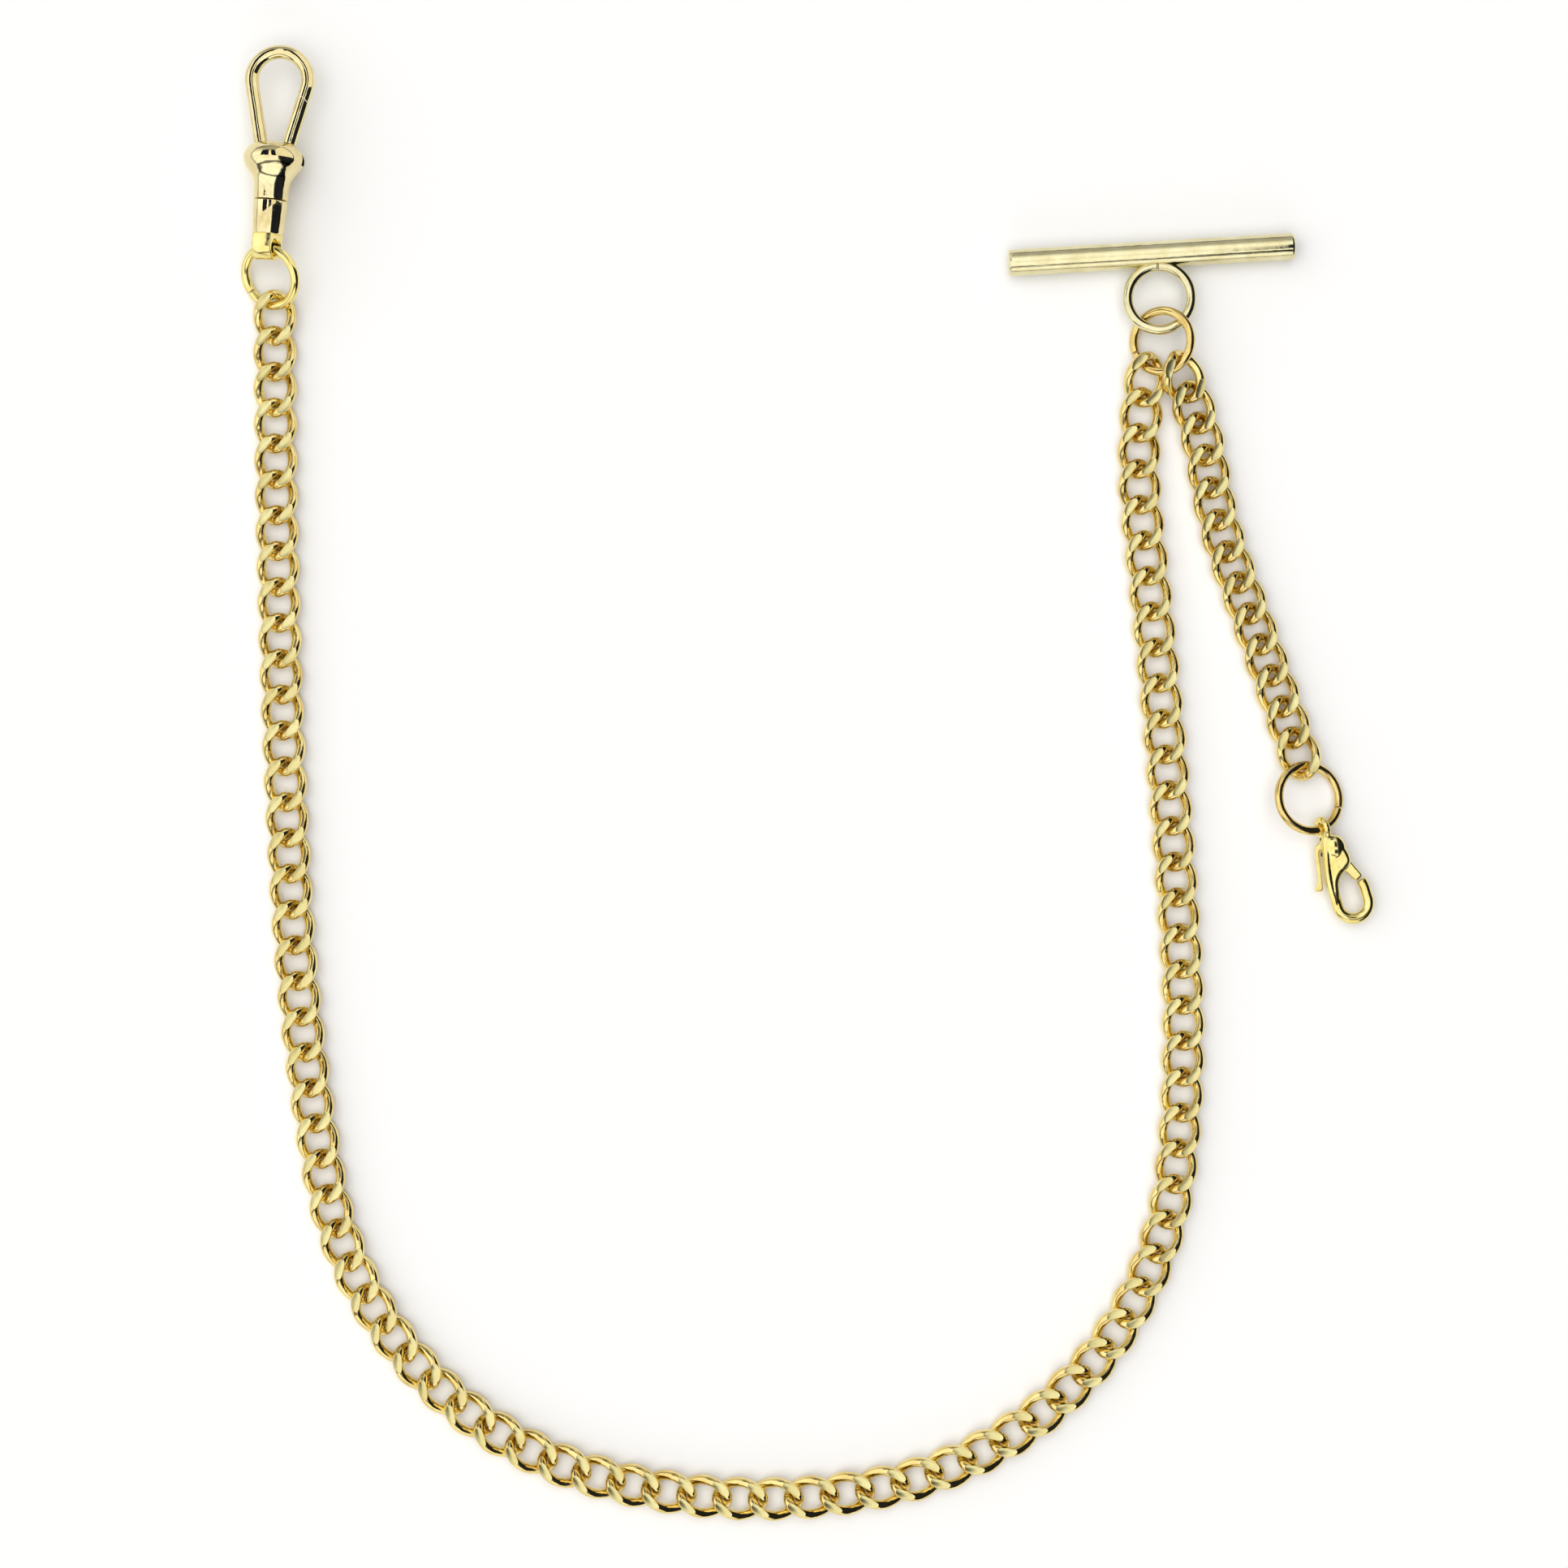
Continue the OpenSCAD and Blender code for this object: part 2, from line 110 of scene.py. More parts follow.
def place(at, angles=(0, 0, 0)):
    """A frame at a point, turned by three angles."""
    return Matrix.Translation(Vector(at)) @ turn(*angles)


def smooth_line(points, step):
    """Points about a step apart on a Catmull-Rom curve through the given ones."""
    p = np.array(points, float)
    p = np.vstack([2 * p[0] - p[1], p, 2 * p[-1] - p[-2]])
    out = []
    for a, b, c, d in zip(p, p[1:], p[2:], p[3:]):
        n = max(2, int(math.ceil(np.linalg.norm(c - b) / step)))
        for k in range(n):
            t = k / n
            second = 2 * a - 5 * b + 4 * c - d
            third = 3 * b - a - 3 * c + d
            out.append(0.5 * (2 * b + (c - a) * t + second * t**2 + third * t**3))
    out.append(p[-2])
    return np.array(out)


# ---------------------------------------------------------------- mesh makers
def shade(mesh):
    """Smooth shading, with creases where the faces meet sharply."""
    mesh.shade_smooth()
    mesh.set_sharp_from_angle(angle=CREASE)


def new_object(name, data):
    """A mesh, a lamp or a camera as an object in the scene."""
    piece = bpy.data.objects.new(name, data)
    bpy.context.scene.collection.objects.link(piece)
    return piece


def mesh_object(name, bm, materials):
    """A bmesh as a shaded object. The bmesh is used up."""
    mesh = bpy.data.meshes.new(name)
    bm.to_mesh(mesh)
    bm.free()
    for material in materials:
        mesh.materials.append(material)
    shade(mesh)
    return new_object(name, mesh)


def to_object(name, bm, where, *materials):
    """A bmesh drawn in millimetres as an object in the part's frame, in metres."""
    bmesh.ops.recalc_face_normals(bm, faces=bm.faces)
    bm.transform(Matrix.Scale(MM, 4) @ where)
    return mesh_object(name, bm, materials)


def add_grid(bm, rows, closed_rows):
    """Skins rows of equally many points, each row a loop.

    closed_rows joins the last row to the first. Otherwise the two end rows are capped.
    """
    made = [[bm.verts.new(p) for p in row] for row in rows]
    count = len(made)
    around = len(made[0])
    for i in range(count if closed_rows else count - 1):
        a, b = made[i], made[(i + 1) % count]
        for j in range(around):
            k = (j + 1) % around
            bm.faces.new((a[j], a[k], b[k], b[j]))
    if not closed_rows:
        bm.faces.new(made[0][::-1])
        bm.faces.new(made[-1])
    return made


def tube_rows(path, radii, around, closed=False):
    """Loops of points round a path. A closed path's twist is shared out along it."""
    p = np.array(path, float)
    n = len(p)
    if closed:
        tangents = np.roll(p, -1, 0) - np.roll(p, 1, 0)
    else:
        tangents = np.gradient(p, axis=0)
    tangents /= np.linalg.norm(tangents, axis=1)[:, None]
    side = np.cross(tangents[0], [0.0, 0.0, 1.0])
    if np.linalg.norm(side) < 0.1:
        side = np.cross(tangents[0], [1.0, 0.0, 0.0])
    sides = []
    for t in tangents:
        side = side - t * (side @ t)
        side /= np.linalg.norm(side)
        sides.append(side)
    twist = 0.0
    if closed:
        last = sides[-1] - tangents[0] * (sides[-1] @ tangents[0])
        last /= np.linalg.norm(last)
        twist = math.atan2(np.cross(last, sides[0]) @ tangents[0], last @ sides[0])
    rows = []
    radii = np.broadcast_to(radii, n)
    for i in range(n):
        t, s = tangents[i], sides[i]
        u = np.cross(t, s)
        a = twist * i / n
        s, u = s * math.cos(a) + u * math.sin(a), u * math.cos(a) - s * math.sin(a)
        angles = 2 * math.pi * np.arange(around) / around
        rows.append([p[i] + radii[i] * (math.cos(w) * s + math.sin(w) * u) for w in angles])
    return rows


def rounded_ends(path, radius, edge):
    """A path and its radii with a small rounded edge at each end, for a wire's cut ends."""
    p = np.array(path, float)
    first = p[1] - p[0]
    first /= np.linalg.norm(first)
    last = p[-1] - p[-2]
    last /= np.linalg.norm(last)
    steps = np.radians([22, 45, 68])
    from_start = np.linalg.norm(p - p[0], axis=1)
    from_end = np.linalg.norm(p - p[-1], axis=1)
    keep = p[(from_start > edge * 1.05) & (from_end > edge * 1.05)]
    lead = [p[0]] + [p[0] + first * edge * (1 - math.cos(a)) for a in steps] + [p[0] + first * edge]
    widths = [radius - edge] + [radius - edge + edge * math.sin(a) for a in steps] + [radius]
    tail = [p[-1] - (q - p[0]) @ first * last for q in lead][::-1]
    return np.vstack([lead, keep, tail]), np.array(widths + [radius] * len(keep) + widths[::-1])


def wire_piece(name, path, radius, where, material, around=28, edge=0.08):
    """Round wire along an open path, its two ends cut square with their edges broken."""
    bm = bmesh.new()
    points, radii = rounded_ends(path, radius, edge)
    add_grid(bm, tube_rows(points, radii, around), False)
    return to_object(name, bm, where, material)


def arc(r, start, end, step=3.0, at=(0, 0, 0)):
    """Points on an arc in the XY plane."""
    n = max(3, int(abs(end - start) / step) + 1)
    angles = np.radians(np.linspace(start, end, n))
    return np.array(at) + np.array([(r * math.cos(a), r * math.sin(a), 0) for a in angles])


def add_lathe(bm, profile, around=72):
    """Turns a closed outline of (radius, height) pairs about +Y."""
    rings = []
    for r, y in profile:
        if r < 1e-6:
            rings.append([bm.verts.new((0, y, 0))])
        else:
            angles = 2 * math.pi * np.arange(around) / around
            rings.append([bm.verts.new((r * math.cos(a), y, r * math.sin(a))) for a in angles])
    for a, b in zip(rings, rings[1:] + rings[:1]):
        if len(a) == 1 and len(b) == 1:
            continue
        for j in range(around):
            k = (j + 1) % around
            if len(a) == 1:
                bm.faces.new((a[0], b[k], b[j]))
            elif len(b) == 1:
                bm.faces.new((a[j], a[k], b[0]))
            else:
                bm.faces.new((a[j], a[k], b[k], b[j]))


def add_rod(bm, r, low, high):
    """A plain cylinder about +Y."""
    add_lathe(bm, [(0, low), (r, low), (r, high), (0, high)], 32)


def broken(corner, before, after, size, steps=3):
    """A lathe outline's corner, rounded off over a length of its two sides."""
    c, a, b = (np.array(v, float) for v in (corner, before, after))
    u = (a - c) / np.linalg.norm(a - c)
    v = (b - c) / np.linalg.norm(b - c)
    p, q = c + u * size, c + v * size
    return [tuple((1 - t) ** 2 * p + 2 * t * (1 - t) * c + t**2 * q) for t in np.linspace(0, 1, steps + 1)]


def rounded_outline(corners, size):
    """A lathe outline with its corners off the axis rounded. Each corner is (r, y) or (r, y, size)."""
    out = []
    n = len(corners)
    for i, corner in enumerate(corners):
        s = corner[2] if len(corner) > 2 else size
        if corner[0] < 1e-6 or s == 0:
            out.append(tuple(corner[:2]))
        else:
            out += broken(corner[:2], corners[i - 1][:2], corners[(i + 1) % n][:2], s)
    return out


def cut(piece, cutter, operation="DIFFERENCE"):
    """A boolean on a piece with a throw-away cutter."""
    step = piece.modifiers.new("cut", "BOOLEAN")
    step.operation = operation
    step.solver = "EXACT"
    step.object = cutter
    apply_modifiers(piece)
    bpy.data.objects.remove(cutter)


def apply_modifiers(piece):
    """Replaces a piece's mesh with what its modifiers make of it."""
    bpy.context.view_layer.update()
    shaped = bpy.data.meshes.new_from_object(piece.evaluated_get(bpy.context.evaluated_depsgraph_get()))
    piece.modifiers.clear()
    piece.data = shaped
    shade(shaped)


def block(low, high, where, bevel=0.0):
    """A box given by two corners, with its edges rounded."""
    bm = bmesh.new()
    bmesh.ops.create_cube(bm, size=1)
    low, high = Vector(low), Vector(high)
    for v in bm.verts:
        v.co = Vector(((low[i] + high[i]) / 2 + v.co[i] * (high[i] - low[i])) for i in range(3))
    if bevel:
        bmesh.ops.bevel(bm, geom=bm.edges[:], offset=bevel, segments=3, affect="EDGES", profile=0.5)
    return to_object("block", bm, where)


def join(name, pieces):
    """Several pieces as one object."""
    bm = bmesh.new()
    materials = []
    for piece in pieces:
        start = len(bm.faces)
        bm.from_mesh(piece.data)
        bm.faces.ensure_lookup_table()
        for f in bm.faces[start:]:
            material = piece.data.materials[f.material_index]
            if material not in materials:
                materials.append(material)
            f.material_index = materials.index(material)
        bpy.data.objects.remove(piece)
    return mesh_object(name, bm, materials)


def done(piece, node, body):
    """The piece stands for a CAD node, which it hides, and rides on its body."""
    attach(piece, body)
    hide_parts(node)
    return piece


# ---------------------------------------------------------------- materials
def new_material(name):
    """A material with its nodes and its links."""
    material = bpy.data.materials.new(name)
    material.use_nodes = True
    return material, material.node_tree.nodes, material.node_tree.links


def mix_colour(nodes, links, factor, a, b):
    """A colour that runs from a to b with a factor socket."""
    mix = nodes.new("ShaderNodeMix")
    mix.data_type = "RGBA"
    links.new(factor, mix.inputs[0])
    for socket, value in ((mix.inputs[6], a), (mix.inputs[7], b)):
        if isinstance(value, tuple):
            socket.default_value = (*value, 1)
        else:
            links.new(value, socket)
    return mix.outputs[2]


def noise(nodes, links, vector, scale, detail=3.0, roughness=0.55):
    """A noise factor at a scale in waves per metre."""
    node = nodes.new("ShaderNodeTexNoise")
    node.inputs["Scale"].default_value = scale
    node.inputs["Detail"].default_value = detail
    node.inputs["Roughness"].default_value = roughness
    links.new(vector, node.inputs["Vector"])
    return node.outputs["Fac"]


def ranged(nodes, links, value, low, high, to_low=0.0, to_high=1.0):
    """A value mapped from one range to another, and held inside it."""
    node = nodes.new("ShaderNodeMapRange")
    node.inputs["From Min"].default_value = low
    node.inputs["From Max"].default_value = high
    node.inputs["To Min"].default_value = to_low
    node.inputs["To Max"].default_value = to_high
    links.new(value, node.inputs["Value"])
    return node.outputs["Result"]


def stretched(nodes, links, vector, scale, angle=0.0):
    """Coordinates turned about Z and scaled unevenly, for marks that run one way."""
    node = nodes.new("ShaderNodeMapping")
    node.inputs["Rotation"].default_value = (0, 0, math.radians(angle))
    node.inputs["Scale"].default_value = scale
    links.new(vector, node.inputs["Vector"])
    return node.outputs["Vector"]


def bumped(nodes, links, height, strength, distance, normal=None):
    """One layer of bump, on top of another."""
    node = nodes.new("ShaderNodeBump")
    node.inputs["Strength"].default_value = strength
    node.inputs["Distance"].default_value = distance
    links.new(height, node.inputs["Height"])
    if normal is not None:
        links.new(normal, node.inputs["Normal"])
    return node.outputs["Normal"]


def plated(name, bright, deep, rough=(0.05, 0.16), wave=0.35, scratch=0.12, specks=0.35, grain_angle=0.0):
    """Polished plate over drawn or cast metal: a slow ripple, fine scratches, thin spots and pinholes."""
    material, nodes, links = new_material(name)
    shader = nodes["Principled BSDF"]
    shader.inputs["Metallic"].default_value = 1.0
    where = nodes.new("ShaderNodeTexCoord").outputs["Object"]
    cloud = noise(nodes, links, where, scale=420, detail=4)
    colour = mix_colour(nodes, links, ranged(nodes, links, cloud, 0.35, 0.68), bright, deep)
    dots = noise(nodes, links, where, scale=5200, detail=2, roughness=0.7)
    pinholes = ranged(nodes, links, dots, 0.69, 0.76, to_high=specks)
    dull = tuple(0.45 * c for c in deep)
    colour = mix_colour(nodes, links, pinholes, colour, dull)
    links.new(colour, shader.inputs["Base Color"])
    smear = noise(nodes, links, where, scale=900, detail=5, roughness=0.6)
    links.new(ranged(nodes, links, smear, 0.3, 0.75, *rough), shader.inputs["Roughness"])
    along = stretched(nodes, links, where, (600, 9000, 9000), grain_angle)
    lines = noise(nodes, links, along, scale=1.0, detail=3)
    ripple = noise(nodes, links, where, scale=650, detail=2, roughness=0.45)
    normal = bumped(nodes, links, ripple, wave, distance=0.00025)
    normal = bumped(nodes, links, lines, scratch, distance=0.00002, normal=normal)
    normal = bumped(nodes, links, pinholes, 0.3, distance=0.00002, normal=normal)
    links.new(normal, shader.inputs["Normal"])
    return material


def ground(name, bright, deep, rough=(0.3, 0.42)):
    """The links' flats: ground across the chain, then plated, so they are satin with fine cross marks."""
    material, nodes, links = new_material(name)
    shader = nodes["Principled BSDF"]
    shader.inputs["Metallic"].default_value = 1.0
    where = nodes.new("ShaderNodeTexCoord").outputs["Object"]
    patches = noise(nodes, links, where, scale=230, detail=3)
    colour = mix_colour(nodes, links, ranged(nodes, links, patches, 0.36, 0.66), bright, deep)
    across = stretched(nodes, links, where, (2600, 9000, 3000), 35)
    marks = noise(nodes, links, across, scale=1.0, detail=4, roughness=0.65)
    grey = ranged(nodes, links, marks, 0.56, 0.82, to_high=0.45)
    colour = mix_colour(nodes, links, grey, colour, tuple(0.55 * c for c in deep))
    links.new(colour, shader.inputs["Base Color"])
    links.new(ranged(nodes, links, marks, 0.3, 0.7, *rough), shader.inputs["Roughness"])
    tilt = noise(nodes, links, where, scale=300, detail=1)
    normal = bumped(nodes, links, tilt, 0.08, distance=0.0003)
    normal = bumped(nodes, links, marks, 0.09, distance=0.00003, normal=normal)
    links.new(normal, shader.inputs["Normal"])
    return material


def drawn_steel(name):
    """Bright drawn spring wire."""
    return plated(name, (0.62, 0.6, 0.55), (0.42, 0.4, 0.36), rough=(0.18, 0.32), wave=0.1, scratch=0.3)


CHAIN_SIDES = plated("chain_sides", (0.91, 0.75, 0.32), (0.74, 0.55, 0.19), rough=(0.07, 0.18), wave=0.3)
CHAIN_FLATS = ground("chain_flats", (0.82, 0.75, 0.37), (0.72, 0.62, 0.27))
PALE = plated(
    "pale_plate", (0.8, 0.75, 0.47), (0.68, 0.61, 0.34),
    rough=(0.06, 0.14), wave=0.05, scratch=0.35, grain_angle=-BAR_LEAN,
)
CHAMPAGNE = plated(
    "champagne_plate", (0.86, 0.77, 0.45), (0.74, 0.62, 0.31), rough=(0.03, 0.09), wave=0.2, scratch=0.03
)
YELLOW = plated("yellow_plate", (0.86, 0.68, 0.28), (0.7, 0.5, 0.16), rough=(0.09, 0.2), wave=0.2)
LEMON = plated("lemon_plate", (0.92, 0.8, 0.34), (0.82, 0.65, 0.21), rough=(0.09, 0.2), wave=0.12)
STEEL = drawn_steel("spring_wire")


# ---------------------------------------------------------------- curb links
def link_corners():
    """The eight corners of a link's centreline before rounding, and how far each rounding reaches."""
    twist, slope = math.radians(LINK_TWIST), math.radians(SIDE_SLOPE)
    end = np.array([(LINK_LEN - WIRE) / 2, 0, 0])
    end_way = np.array([0, math.cos(twist), math.sin(twist)])
    side = np.array([0, (LINK_W - WIRE) / 2, 0])
    side_way = np.array([-math.cos(slope), 0, -math.sin(slope)])
    across = side - end - LINK_REACH * end_way
    side_reach = (across @ across - LINK_REACH**2) / (2 * (LINK_REACH + across @ side_way))
    a = end + LINK_REACH * end_way
    b = side - side_reach * side_way
    about_x, about_y, about_z = np.array([1, -1, -1]), np.array([-1, 1, -1]), np.array([-1, -1, 1])
    corners = [a, b, b * about_y, a * about_y, a * about_z, b * about_z, b * about_x, a * about_x]
    reaches = [LINK_REACH if i % 4 in (0, 3) else side_reach for i in range(8)]
    return corners, reaches


def link_path(step=0.115):
    """The rounded centreline of a link, as points about a step apart."""
    corners, reaches = link_corners()
    path = []
    for i in range(8):
        before, corner, after, reach = corners[i - 1], corners[i], corners[(i + 1) % 8], reaches[i]
        u = (before - corner) / np.linalg.norm(before - corner)
        v = (after - corner) / np.linalg.norm(after - corner)
        half = math.acos(float(u @ v)) / 2
        radius = reach * math.tan(half)
        inward = (u + v) / np.linalg.norm(u + v)
        centre = corner + inward * reach / math.cos(half)
        out = corner + u * reach - centre
        out /= np.linalg.norm(out)
        sweep = math.pi - 2 * half
        n = int(math.ceil(radius * sweep / step))
        for k in range(n):
            w = sweep * k / n
            path.append(centre + radius * (math.cos(w) * out - math.sin(w) * u))
    return np.array(path)


def link_mesh():
    """One curb link as a bmesh in its own frame: round wire, ground flat above and below, edges just broken.

    The wire narrows a little at one end of the link, where its ends are soldered.
    """
    path = link_path()
    radii = np.full(len(path), WIRE / 2)
    seam = int(np.argmin(np.linalg.norm(path - np.array([LINK_LEN / 2 - WIRE / 2, 0.0, 0.0]), axis=1)))
    radii[seam] -= SEAM_DIP
    bm = bmesh.new()
    add_grid(bm, tube_rows(path, radii, 26, closed=True), True)
    for side in (1, -1):
        level = side * CHAIN_T / 2
        made = bmesh.ops.bisect_plane(
            bm, geom=bm.verts[:] + bm.edges[:] + bm.faces[:], plane_co=(0, 0, level), plane_no=(0, 0, side),
            clear_outer=True, dist=1e-5,
        )
        rim = [e for e in made["geom_cut"] if isinstance(e, bmesh.types.BMEdge)]
        flats = bmesh.ops.contextual_create(bm, geom=rim)["faces"]
        if not flats:
            flats = bmesh.ops.edgeloop_fill(bm, edges=rim)["faces"]
        for f in flats:
            f.material_index = 1
            edge_verts = list(f.verts)
            bmesh.ops.inset_region(
                bm, faces=[f], thickness=FLAT_EDGE, use_even_offset=True, use_boundary=True
            )
            for v in edge_verts:
                v.co.z -= side * FLAT_EDGE_DROP
    return bm


def chain_places(chain):
    """Where each link of a chain lies: a frame per link, from the joint behind it."""
    turns = [angle for count, angle in chain["route"] for _ in range(count)]
    dips = [chain["dip"].get(i, 0) for i in range(chain["count"])]
    drop = sum(chain["pitch"] * math.sin(math.radians(d)) for d in dips[:2])
    x, y = (BRANCH_RING["at"][k] + chain["start"][k] for k in (0, 1))
    joint = Vector((x, y, CHAIN_T / 2 + drop))
    heading = chain["heading"]
    places = []
    for i in range(chain["count"]):
        way = turn(0, dips[i], heading) @ Vector((1, 0, 0))
        middle = joint + way * chain["pitch"] / 2
        places.append(place(middle, (chain["roll"].get(i, 0), dips[i], heading)))
        joint += way * chain["pitch"]
        heading += turns[i]
    return places


def links_piece(name, link, places):
    """A few links as one piece."""
    bm = bmesh.new()
    for where in places:
        copy = link.copy()
        copy.transform(where)
        mesh = bpy.data.meshes.new("link")
        copy.to_mesh(mesh)
        copy.free()
        bm.from_mesh(mesh)
        bpy.data.meshes.remove(mesh)
    return to_object(name, bm, Matrix.Identity(4), CHAIN_SIDES, CHAIN_FLATS)


def build_chains():
    """Both chains: the long one in groups of links, the short one link by link."""
    link = link_mesh()
    long_places = chain_places(LONG)
    for k in range(math.ceil(LONG["count"] / LINKS_PER_SEGMENT)):
        number = f"{k + 1:02d}"
        some = long_places[k * LINKS_PER_SEGMENT : (k + 1) * LINKS_PER_SEGMENT]
        piece = links_piece(f"long_links_{number}", link, some)
        done(piece, f"long_chain_{number}", f"long_{number}")
    for k, where in enumerate(chain_places(SHORT)):
        number = f"{k + 1:02d}"
        piece = links_piece(f"short_curb_{number}", link, [where])
        done(piece, f"short_link_{number}", f"short_{number}")
    link.free()


# ---------------------------------------------------------------- bar and rings
def build_bar():
    """The T-bar: square end with a broken edge on the left, a rounder end on the right."""
    r = BAR_D / 2
    edge, dome, dome_high = 0.4, 0.55, 0.45
    profile = [(0, 0)]
    quarter = np.radians(np.arange(0, 91, 15))
    profile += [(r - edge + edge * math.sin(a), edge - edge * math.cos(a)) for a in quarter]
    profile += [(r, y) for y in np.linspace(edge, BAR_LEN - dome, 60)[1:-1]]
    quarter = np.radians(np.arange(90, -1, -10))
    profile += [(r - dome + dome * math.sin(a), BAR_LEN - dome + dome_high * math.cos(a)) for a in quarter]
    profile += [(0, BAR_LEN)]
    bm = bmesh.new()
    add_lathe(bm, profile, 96)
    ring_x, ring_y, ring_z = BAR_RING["at"]
    above_ring = BAR_RING["r"] + math.sqrt(r**2 - (ring_z - r) ** 2)
    middle = place((ring_x, ring_y, 0), (0, 0, BAR_LEAN))
    where = middle @ place((-BAR_RING_OFF - BAR_LEN / 2, above_ring, r), (0, 0, -90))
    piece = to_object("tbar", bm, where, PALE)
    done(piece, "tbar_bar", "tbar")


def ring_piece(name, ring, material):
    """A ring bent from wire, with its two cut ends nearly touching."""
    half = math.degrees(math.asin(RING_GAP / 2 / ring["r"]))
    path = arc(ring["r"], ring["split"] + half, ring["split"] + 360 - half, step=2.5)
    return wire_piece(name, path, ring["wire"] / 2, place(ring["at"], ring["turn"]), material, around=32)


def build_rings():
    """The T-bar's own ring and the three jump rings."""
    done(ring_piece("bar_ring", BAR_RING, PALE), "tbar_ring", "tbar")
    done(ring_piece("jump_ring_branch", BRANCH_RING, YELLOW), "branch_ring", "branch_ring")
    done(ring_piece("jump_ring_clasp", CLASP_RING, YELLOW), "clasp_ring", "clasp_ring")
    done(ring_piece("jump_ring_swivel", SWIVEL_RING, LEMON), "swivel_ring", "swivel_ring")


# ---------------------------------------------------------------- swivel clip
# Heights are up the clip from the middle of the hole in its eye. D is a diameter, T a thickness.
EYE_R = 1.4
EYE_T = 2.4
EYE_HOLE = 0.9
EYE_EDGE = 0.14
POST_R = 0.75
POST_GAP = 0.05
HEAD_R = 1.35
HEAD_T = 0.6
COLLAR_LOW = 1.42
COLLAR_HIGH = 5.15
COLLAR_R = (1.75, 1.97)
BULB_LOW = 5.25
BULB_HIGH = 11.67
BULB_R = 3.42
CHAMBER_R = 1.45
CHAMBER_LOW = 6.95
CHAMBER_HIGH = 9.6
HOOK_R = 3.14
HOOK_D = 1.55
HOOK_LEAN = 13
BOW_Y = 18.7
SOCKET_LOW = 10.3
SOCKET_HIGH = 13
SLOT_LEFT = 0.2
SLOT_LOW = 9.3
SLOT_T = 1.7
GATE_PIN_Y = 10.5
GATE_PIN_D = 0.8
GATE_CUT_Y = 16.8
GATE_CUT_LEAN = -41
GATE_GAP = 0.12
GATE_T = 0.75
BOSS_R = 0.85
PIN_GAP = 0.05
CLIP = place(CLIP_AT, (0, 0, CLIP_LEAN))


def limb(y):
    """The right limb's axis at a height up the clip."""
    lean = math.radians(HOOK_LEAN)
    x = HOOK_R * math.cos(lean) - math.tan(lean) * (BOW_Y - HOOK_R * math.sin(lean) - y)
    return np.array([x, y, 0.0])


def left_limb(y):
    """The left limb's axis at a height up the clip."""
    return limb(y) * np.array([-1, 1, 1])


def build_swivel():
    """The cross-drilled eye with its turned post, and the collar over the post."""
    across = CLIP @ turn(0, EYE_ROLL, 0)
    half = EYE_T / 2
    outline = [(EYE_R * math.cos(a), EYE_R * math.sin(a)) for a in np.radians(np.linspace(180, 360, 41))]
    outline += [(EYE_R, COLLAR_LOW * t) for t in np.linspace(0, 1, 9)[1:]]
    outline += [(EYE_R - 2 * EYE_R * t, COLLAR_LOW) for t in np.linspace(0, 1, 17)[1:]]
    outline += [(-EYE_R, COLLAR_LOW * (1 - t)) for t in np.linspace(0, 1, 9)[1:-1]]
    edge = [(half, EYE_EDGE), (half - EYE_EDGE * 0.3, EYE_EDGE * 0.3), (half - EYE_EDGE, 0)]
    sections = []
    for x, inset in [(-x, inset) for x, inset in edge] + edge[::-1]:
        k = 1 - inset / EYE_R
        sections.append([(x, v * k if v < COLLAR_LOW - 0.01 else v, -u * k) for u, v in outline])
    bm = bmesh.new()
    add_grid(bm, sections, False)
    eye = to_object("swivel_tab", bm, across, LEMON)
    bm = bmesh.new()
    mouth, straight, through = EYE_HOLE + 0.14, half - 0.16, 2
    drill = [(0, -through), (mouth, -through), (mouth, -half), (EYE_HOLE, -straight),
             (EYE_HOLE, straight), (mouth, half), (mouth, through), (0, through)]
    add_lathe(bm, drill, 48)
    cut(eye, to_object("drill", bm, across @ turn(0, 0, 90)))
    bm = bmesh.new()
    foot, head = 1.3, CHAMBER_LOW + POST_GAP
    post = [(0, foot), (POST_R, foot, 0), (POST_R, head, 0), (HEAD_R, head),
            (HEAD_R, head + HEAD_T, 0.2), (0, head + HEAD_T)]
    add_lathe(bm, rounded_outline(post, 0.06), 48)
    post = to_object("post", bm, CLIP, LEMON)
    done(join("swivel_tab", [eye, post]), "swivel_eye", "swivel")

    bm = bmesh.new()
    low_r, high_r = COLLAR_R
    collar = [(POST_R, COLLAR_LOW), (low_r, COLLAR_LOW, 0.12), (high_r, COLLAR_HIGH, 0.09),
              (POST_R, COLLAR_HIGH)]
    add_lathe(bm, rounded_outline(collar, 0.05), 72)
    done(to_object("swivel_sleeve", bm, CLIP, CHAMPAGNE), "swivel_collar", "swivel")


def bulb_skin():
    """The bulb's outer curve as (radius, height) pairs, from its neck to its top."""
    return smooth_line(
        [(1.97, 5.42), (1.99, 6.2), (2.06, 7.0), (2.3, 7.75), (2.74, 8.4), (3.16, 9.0), (3.4, 9.6),
         (3.36, 10.25), (3.02, 10.9), (2.46, 11.38), (1.8, 11.62), (1.1, BULB_HIGH)],
        0.13,
    )


